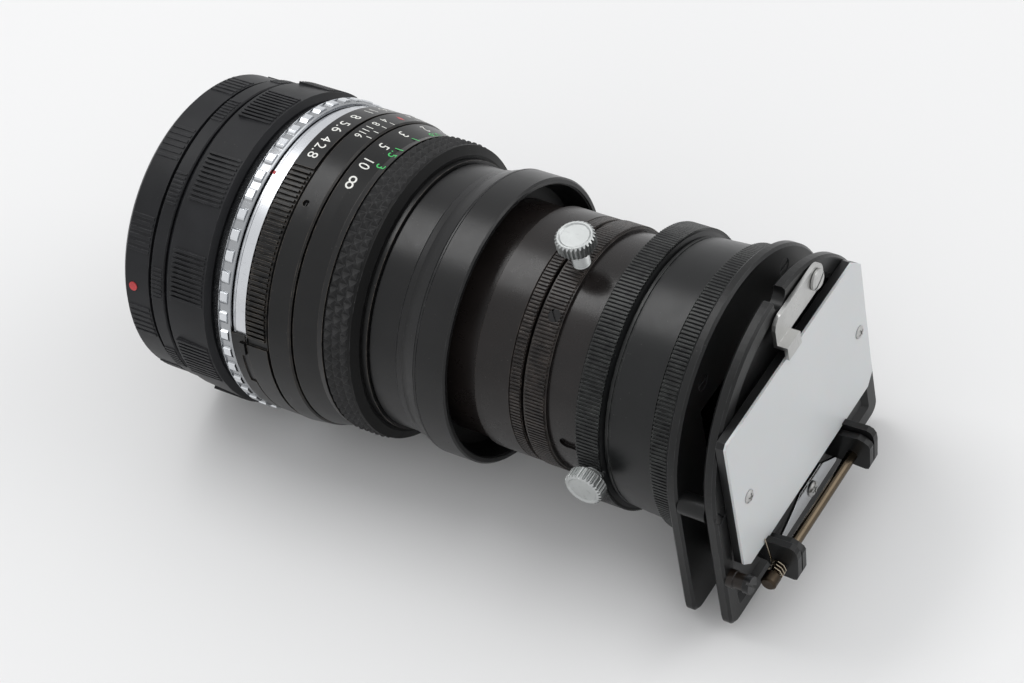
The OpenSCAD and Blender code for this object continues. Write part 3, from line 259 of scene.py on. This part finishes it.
def rubber(name, color):
    """Moulded rubber, paler and dusty on its tips."""
    n = Finish(name)
    cloud = n.noise(scale=120.0, detail=4.0)
    fine = n.noise(scale=3600.0, detail=3.0)
    tips = n.edges(TIP_WEAR_EDGE, low=0.004, high=0.09)
    base = n.mix(n.swing(cloud), shade(color, 0.7), shade(color, 1.35))
    dusty = n.times(tips, n.patches(0.35, 0.65, scale=700.0, detail=4.0))
    base = n.mix(n.times(dusty, 0.42), base, (0.10, 0.10, 0.10))
    base = n.specks(base, n.spots(scale=1300.0, size=0.1),
                    n.patches(0.48, 0.6, scale=200.0, detail=2.0), 0.3, (0.33, 0.32, 0.3))
    normal = n.bump(fine, distance=0.00003, strength=0.5, normal=n.soft_edge(SOFT_EDGE))
    return n.surface(Base_Color=base, Roughness=n.swing(fine, 0.52, 0.68), Specular_IOR_Level=0.32,
                     Normal=normal)


def opal(name, color):
    """Opal plastic sheet with a faint cloud, specks and rubbed places."""
    n = Finish(name)
    cloud = n.noise(scale=42.0, detail=4.0, rough=0.5)
    fine = n.noise(scale=2600.0, detail=2.0)
    base = n.mix(n.swing(cloud), shade(color, 0.965), shade(color, 1.02))
    base = n.specks(base, n.spots(scale=420.0, size=0.05),
                    n.patches(0.56, 0.66, scale=90.0, detail=2.0), 0.4, (0.38, 0.36, 0.33))
    rubbed = n.patches(0.62, 0.72, scale=1.0, detail=3.0, rough=0.6, vector=n.stretch(RUB_STRETCH))
    roughness = n.plus(n.swing(cloud, 0.3, 0.42), n.times(rubbed, 0.08))
    normal = n.bump(fine, distance=0.00001, strength=0.3, normal=n.soft_edge(SOFT_EDGE))
    return n.surface(Base_Color=base, Roughness=roughness, Specular_IOR_Level=0.45,
                     Subsurface_Weight=0.12, Subsurface_Scale=0.0008, Normal=normal)


def glass(name, tint):
    """Lens glass with a purple cast at its edge and a thin film."""
    n = Finish(name)
    film = n.noise(scale=60.0, detail=3.0)
    view = n.add("ShaderNodeLayerWeight", {"Blend": 0.35}).outputs["Facing"]
    colour = n.mix(n.span(view, 0.1, 0.9), tint, (0.86, 0.78, 0.95))
    roughness = n.span(film, 0.35, 0.7, 0.0, 0.035)
    return n.surface(Base_Color=colour, Roughness=roughness, IOR=1.62, Transmission_Weight=1.0)


def mark(name, color, rough=0.5):
    """Paint filled into an engraved mark."""
    n = Finish(name)
    wear = n.noise(scale=1500.0, detail=4.0, rough=0.65)
    base = n.mix(n.span(wear, 0.42, 0.7), color, shade(color, 0.72))
    return n.surface(Base_Color=base, Roughness=n.swing(wear, rough - 0.06, rough + 0.1),
                     Normal=n.bump(wear, distance=0.00001, strength=0.4))


CHROME_FOOT = 31.9      # radius at the foot of the chrome ring's raised blocks, in mm; nearer the axis the chrome carries painted shade
RECESS_RADIUS = 27.6    # radius of the series ring's recess, in mm; inside it the ring carries painted shade

# One finish for each material slot of the record.
LOOKS = {
    "black_rings": satin_paint("black_rings", (0.0115, 0.0118, 0.0132), rough=0.43, lathe=0.25,
                               spec=0.20),
    # The lens rings' worn edges are pale: partly real edge wear, partly painted highlight along the
    # ring edges.
    "lens_black": satin_paint("lens_black", (0.0060, 0.0060, 0.0062), rough=0.29, lathe=0.25,
                              wear=(0.25, 0.21, 0.17)),
    # The chrome lock ring is painted darker below the foot of its raised blocks: painted shade in
    # the gaps.
    "lock_chrome": bright_metal("lock_chrome", (0.72, 0.74, 0.765), rough=0.17, lathe=0.05,
                                stain=0.05, painted_shade_radius=CHROME_FOOT),
    "barrel_silver": bright_metal("barrel_silver", (0.66, 0.675, 0.70), rough=0.22, lathe=0.15,
                                  stain=0.10),
    "switch_black": satin_paint("switch_black", (0.006, 0.006, 0.006), rough=0.30, grain=0.2),
    "grip_rubber": rubber("grip_rubber", (0.012, 0.012, 0.0125)),
    "lens_glass": glass("lens_glass", (0.93, 0.96, 0.99)),
    "blade_steel": bright_metal("blade_steel", (0.13, 0.13, 0.14), rough=0.38, lathe=0.5,
                                stain=0.3),
    "series_black": satin_paint("series_black", (0.0072, 0.0072, 0.0075), rough=0.29, lathe=0.3),
    "tube_brown": satin_paint("tube_brown", (0.0105, 0.0085, 0.0080), rough=0.28, lathe=0.3,
                              wear=(0.18, 0.15, 0.13)),
    "tube_gloss": satin_paint("tube_gloss", (0.0100, 0.0080, 0.0076), rough=0.27, lathe=0.2,
                              coat=0.08),
    "stage_green_black": satin_paint("stage_green_black", (0.0066, 0.0070, 0.0073), rough=0.31,
                                     lathe=0.2, wear=(0.15, 0.16, 0.15)),
    "stage_black": satin_paint("stage_black", (0.0060, 0.0062, 0.0063), rough=0.34, grain=0.8),
    "door_black": satin_paint("door_black", (0.0064, 0.0065, 0.0067), rough=0.36, grain=0.6),
    "opal_white": opal("opal_white", (0.565, 0.58, 0.585)),
    "knob_nickel": bright_metal("knob_nickel", (0.47, 0.485, 0.48), rough=0.32, lathe=0.35,
                                stain=0.3, along=(700.0, 700.0, 700.0)),
    "steel": bright_metal("steel", (0.50, 0.50, 0.49), rough=0.27, lathe=0.45, stain=0.3,
                          along=(300.0, 60.0, 3800.0)),
    "rod_brown": bright_metal("rod_brown", (0.115, 0.090, 0.062), rough=0.15, lathe=0.5, stain=0.5,
                              along=(500.0, 60.0, 500.0)),
    "screw_black": satin_paint("screw_black", (0.006, 0.006, 0.0063), rough=0.30, grain=0.3),
    "mark_red": mark("mark_red", (0.50, 0.035, 0.04), rough=0.35),
}

# A few pieces have a finish of their own within their slot.
OWN_LOOKS = {
    "stop_post": satin_paint("post_brown", (0.012, 0.0085, 0.0065), rough=0.30, grain=0.3),
    # The series ring is painted darker and duller inside its recess: painted shade.
    "series_ring": satin_paint("series_recess_shade", (0.0068, 0.0068, 0.0070), rough=0.29, lathe=0.3,
                               painted_shade_radius=RECESS_RADIUS),
    "front_bezel": satin_paint("bezel_matte", (0.0035, 0.0035, 0.0035), rough=0.50, lathe=0.2,
                               spec=0.16),
    "leaf_spring": bright_metal("leaf_polish", (0.52, 0.535, 0.55), rough=0.09, lathe=0.1,
                                stain=0.15),
    "hinge_spring": bright_metal("spring_bronze", (0.46, 0.40, 0.31), rough=0.20, lathe=0.1,
                                 stain=0.2),
    "rod_cap": bright_metal("cap_brown", (0.060, 0.046, 0.033), rough=0.30, lathe=0.5, stain=0.5,
                            along=(500.0, 500.0, 60.0)),
}

slots = {part["node"]: part["material_slot"] for part in frame["record"]["subparts"]}
for node, obj in frame["nodes"].items():
    obj.data.materials.clear()
    obj.data.materials.append(OWN_LOOKS.get(node) or LOOKS[slots[node]])

# ---------------------------------------------------------------- engraved numbers and marks

MARK_WHITE = mark("mark_white", (0.80, 0.80, 0.76))
MARK_GREEN = mark("mark_green", (0.06, 0.50, 0.13))
LIFT = 0.02            # how far a mark stands off its ring, in mm
CAPITAL_SHARE = 0.72   # how high a digit is, as a share of the font's size
DIGIT_SPACE = 1.12     # space between digits, as a share of the font's own
OUTLINE_STEPS = 6      # points on each curve of a digit's outline


def wrap(points, x, angle, radius_at):
    """Lays flat points (right, up) in mm on a ring: right runs round the ring, up runs along +X."""
    out = []
    for right, up in points:
        px = x + up
        r = radius_at(px) + LIFT
        a = math.radians(angle) + right / r
        out.append((px * MM, r * math.cos(a) * MM, r * math.sin(a) * MM))
    return out


def add_piece(name, verts, faces, material, body):
    mesh = bpy.data.meshes.new(name)
    mesh.from_pydata(verts, [], faces)
    mesh.materials.append(material)
    obj = bpy.data.objects.new(name, mesh)
    bpy.context.scene.collection.objects.link(obj)
    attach(obj, body)


def number(name, text, x, angle, radius_at, height, material, body):
    """A number laid on a ring, centred on (x, angle)."""
    curve = bpy.data.curves.new(name + "_outline", "FONT")
    curve.body = text
    curve.size = height / CAPITAL_SHARE
    curve.align_x = "CENTER"
    curve.align_y = "CENTER"
    curve.space_character = DIGIT_SPACE
    curve.resolution_u = OUTLINE_STEPS
    source = bpy.data.objects.new(name + "_outline", curve)
    bpy.context.scene.collection.objects.link(source)
    flat = source.to_mesh()
    points = [(v.co.x, v.co.y) for v in flat.vertices]
    faces = [tuple(p.vertices) for p in flat.polygons]
    source.to_mesh_clear()
    bpy.data.objects.remove(source)
    bpy.data.curves.remove(curve)
    add_piece(name, wrap(points, x, angle, radius_at), faces, material, body)


def strip(name, corners, x, angle, radius_at, material, body):
    """A flat mark with the given outline, such as a line or a diamond."""
    face = tuple(range(len(corners)))
    add_piece(name, wrap(corners, x, angle, radius_at), [face], material, body)


def infinity(name, x, angle, radius_at, height, material, body):
    """The sign for far away: two loops side by side round the ring."""
    loop = height * 0.36    # outer radius of one loop
    stroke = 0.34           # width of the line, in mm
    steps = 24
    wide = 1.1              # how much wider than high a loop is
    points, faces = [], []
    for side in (-1, 1):
        start = len(points)
        for i in range(steps):
            a = 2 * math.pi * i / steps
            for r in (loop, loop - stroke):
                right = side * (loop - stroke / 2) * wide + r * wide * math.cos(a)
                points.append((right, r * math.sin(a)))
        for i in range(steps):
            j = (i + 1) % steps
            faces.append((start + 2 * i, start + 2 * j, start + 2 * j + 1, start + 2 * i + 1))
    add_piece(name, wrap(points, x, angle, radius_at), faces, material, body)


def ring_of(node):
    """A ring's rear end along X and its largest radius, in mm."""
    low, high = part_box(node)
    return low[0] / MM, max(high[1], high[2], -low[1], -low[2]) / MM


def profile(*points):
    """The radius along X of a ring whose outline runs through the points (x, radius). A single
    point stands for a ring of one radius."""
    def radius_at(x):
        for (x0, r0), (x1, r1) in zip(points, points[1:]):
            if x <= x1:
                return r0 + (r1 - r0) * (x - x0) / (x1 - x0)
        return points[-1][1]
    return radius_at


# The rings that carry marks. Places along X and radii are in mm, counted from each ring's rear
# end and largest radius. Angles are in degrees.
SILVER_X, SILVER_R = ring_of("silver_barrel")
APERTURE_X, APERTURE_R = ring_of("aperture_ring")
SCALE_X, SCALE_R = ring_of("scale_ring")
FOCUS_X, FOCUS_R = ring_of("focus_ring")
silver_at = profile((SILVER_X, SILVER_R - 0.4))
aperture_at = profile((APERTURE_X, APERTURE_R))
scale_at = profile((SCALE_X + 0.3, SCALE_R), (SCALE_X + 4.65, SCALE_R - 0.5))
focus_at = profile((FOCUS_X + 0.25, FOCUS_R), (FOCUS_X + 2.58, FOCUS_R - 0.5),
                   (FOCUS_X + 5.16, FOCUS_R - 1.1), (FOCUS_X + 6.4, FOCUS_R - 0.85))

# Each row of marks: its middle along X and its height.
STOP_ROW, STOP_HIGH = APERTURE_X + 2.45, 2.3
DEPTH_ROW, DEPTH_HIGH = SCALE_X + 1.95, 1.7
DEPTH_LINE_ROW = SCALE_X + 3.95
DEPTH_INDEX_ROW, DEPTH_INDEX_ANGLE = SCALE_X + 2.95, 54.2
FAR_ROW, FAR_HIGH = FOCUS_X + 2.25, 2.2
NEAR_ROW, NEAR_HIGH = FOCUS_X + 5.0, 2.0
LOCK_INDEX_ROW, LOCK_INDEX_ANGLE = SILVER_X + 0.25, 104.0

# Outlines of the marks, as points (right, up) in mm.
LINE = [(-0.11, -0.55), (0.11, -0.55), (0.11, 0.6), (-0.11, 0.6)]
DIAMOND = [(-0.55, 0.0), (0.0, -1.1), (0.55, 0.0), (0.0, 1.1)]
SMALL_SQUARE = [(-0.35, -0.3), (0.35, -0.3), (0.35, 0.3), (-0.35, 0.3)]

# The numbers of each row with their angles. A depth number's angle is counted from the index.
STOPS = (("2.8", 91.0), ("4", 84.8), ("5.6", 76.0), ("8", 67.0), ("11", 57.5), ("16", 48.0))
DEPTHS = (("4", 8.0), ("8", 13.0), ("11", 18.0), ("16", 22.4))
FAR_MARKS = (("10", 88.1), ("5", 76.9), ("3", 64.5), ("2", 50.0), ("1.5", 34.0))
NEAR_MARKS = (("3", 86.8), ("1.5", 77.0), ("1", 64.0), ("0.6", 50.0), ("0.5", 35.0))
FAR_LIMIT_ANGLE = 98.2


def number_row(prefix, labels, x, radius_at, height, material, body):
    """A row of numbers, each given with its angle."""
    for label, angle in labels:
        name = prefix + label.replace(".", "_")
        number(name, label, x, angle, radius_at, height, material, body)


number_row("stop_", STOPS, STOP_ROW, aperture_at, STOP_HIGH, MARK_WHITE, "aperture_control")

for side in (-1, 1):
    for label, offset in DEPTHS:
        angle = DEPTH_INDEX_ANGLE + side * offset
        tag = label + ("_near" if side > 0 else "_far")
        number("depth_" + tag, label, DEPTH_ROW, angle, scale_at, DEPTH_HIGH, MARK_WHITE,
               "lens_body")
        strip("depth_line_" + tag, LINE, DEPTH_LINE_ROW, angle, scale_at, MARK_WHITE, "lens_body")
strip("depth_index", DIAMOND, DEPTH_INDEX_ROW, DEPTH_INDEX_ANGLE, scale_at, LOOKS["mark_red"],
      "lens_body")

number_row("far_", FAR_MARKS, FAR_ROW, focus_at, FAR_HIGH, MARK_WHITE, "focus_control")
number_row("near_", NEAR_MARKS, NEAR_ROW, focus_at, NEAR_HIGH, MARK_GREEN, "focus_control")
infinity("far_limit", FAR_ROW, FAR_LIMIT_ANGLE, focus_at, FAR_HIGH, MARK_WHITE, "focus_control")

strip("lock_index", SMALL_SQUARE, LOCK_INDEX_ROW, LOCK_INDEX_ANGLE, silver_at, LOOKS["mark_red"],
      "lens_body")

# ---------------------------------------------------------------- floor, light and camera

FLOOR_GAP = 0.0001      # metres below the lowest point
FLOOR_SIZE = 8.0
MIDDLE_X = 0.07         # about half way along the object, in metres
FLOOR_DARK = (0.765, 0.765, 0.765)
FLOOR_LIGHT = (0.785, 0.785, 0.784)
SKY_FROM, SKY_TO = -0.15, 0.75        # Z of the direction, from under the horizon to high above it
SKY_LOW, SKY_HIGH = 0.64, 0.92        # strength of the world's light at those two
SKY_SHOWN = 0.88                      # strength where the world itself is seen or mirrored
SKY_COLOR = (0.985, 0.99, 1.0, 1.0)
LAMP_TARGET = (MIDDLE_X, 0.0, 0.0)

# The photograph's camera, fitted to the circles that show in it: its place in metres, its three
# axes and its lens.
CAMERA_PLACE = (0.32978, -0.29905, 0.39334)
VIEW_RIGHT = Vector((0.84191, 0.5149, -0.16147))
VIEW_UP = Vector((-0.28056, 0.67327, 0.6841))
VIEW_BACK = Vector((0.46095, -0.53065, 0.71129))
SENSOR_MM = 36.0
LENS_MM = 101.18

FLOOR_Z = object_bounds()[0].z - FLOOR_GAP

floor_look = Finish("floor")
floor_tone = floor_look.mix(floor_look.patches(0.35, 0.65, scale=3.0, detail=2.0), FLOOR_DARK,
                            FLOOR_LIGHT)
floor_weave = floor_look.bump(floor_look.noise(scale=900.0, detail=2.0), distance=0.00002,
                              strength=0.2)
floor_look.surface(Base_Color=floor_tone, Roughness=0.85, Specular_IOR_Level=0.15,
                   Normal=floor_weave)
bpy.ops.mesh.primitive_plane_add(size=FLOOR_SIZE, location=(MIDDLE_X, 0.0, FLOOR_Z))
floor = bpy.context.object
floor.name = "floor"
floor.data.materials.append(floor_look.mat)

world = bpy.data.worlds.new("studio")
bpy.context.scene.world = world
sky = Nodes(world)
path = sky.add("ShaderNodeLightPath").outputs
seen = sky.math("MAXIMUM", path["Is Camera Ray"], path["Is Transmission Ray"])
shown = sky.math("MAXIMUM", seen, path["Is Glossy Ray"])
direction = sky.add("ShaderNodeTexCoord").outputs["Generated"]
split = sky.add("ShaderNodeSeparateXYZ", {0: direction})
lit = sky.span(split.outputs["Z"], SKY_FROM, SKY_TO, SKY_LOW, SKY_HIGH)
strength = sky.add("ShaderNodeMix", {MIX_FACTOR: shown, MIX_A: lit, MIX_B: SKY_SHOWN},
                   data_type="FLOAT")
back = sky.add("ShaderNodeBackground", {"Color": SKY_COLOR, "Strength": strength.outputs[0]})
sky.add("ShaderNodeOutputWorld", {"Surface": back.outputs[0]})


def area(name, place, size, power):
    """A rectangular lamp that faces the object: place and size in metres, power in watts."""
    data = bpy.data.lights.new(name, "AREA")
    data.shape = "RECTANGLE"
    data.size, data.size_y = size
    data.energy = power
    lamp = bpy.data.objects.new(name, data)
    bpy.context.scene.collection.objects.link(lamp)
    lamp.location = place
    lamp.rotation_mode = "QUATERNION"
    lamp.rotation_quaternion = (Vector(LAMP_TARGET) - Vector(place)).to_track_quat("-Z", "Y")


area("top_softbox", (-0.32, 0.085, 0.757), (0.5, 0.2), 1.9)
area("right_softbox", (0.75, 0.45, 0.60), (0.7, 0.7), 2.1)

camera_data = bpy.data.cameras.new("camera")
camera_data.sensor_width = SENSOR_MM
camera_data.lens = LENS_MM
camera_data.clip_start = 0.01
camera_data.clip_end = 20.0
camera = bpy.data.objects.new("camera", camera_data)
bpy.context.scene.collection.objects.link(camera)
turn = Matrix((VIEW_RIGHT, VIEW_UP, VIEW_BACK)).transposed()
camera.matrix_world = Matrix.Translation(Vector(CAMERA_PLACE)) @ turn.to_4x4()
bpy.context.scene.camera = camera

bpy.context.scene.view_settings.view_transform = "Standard"
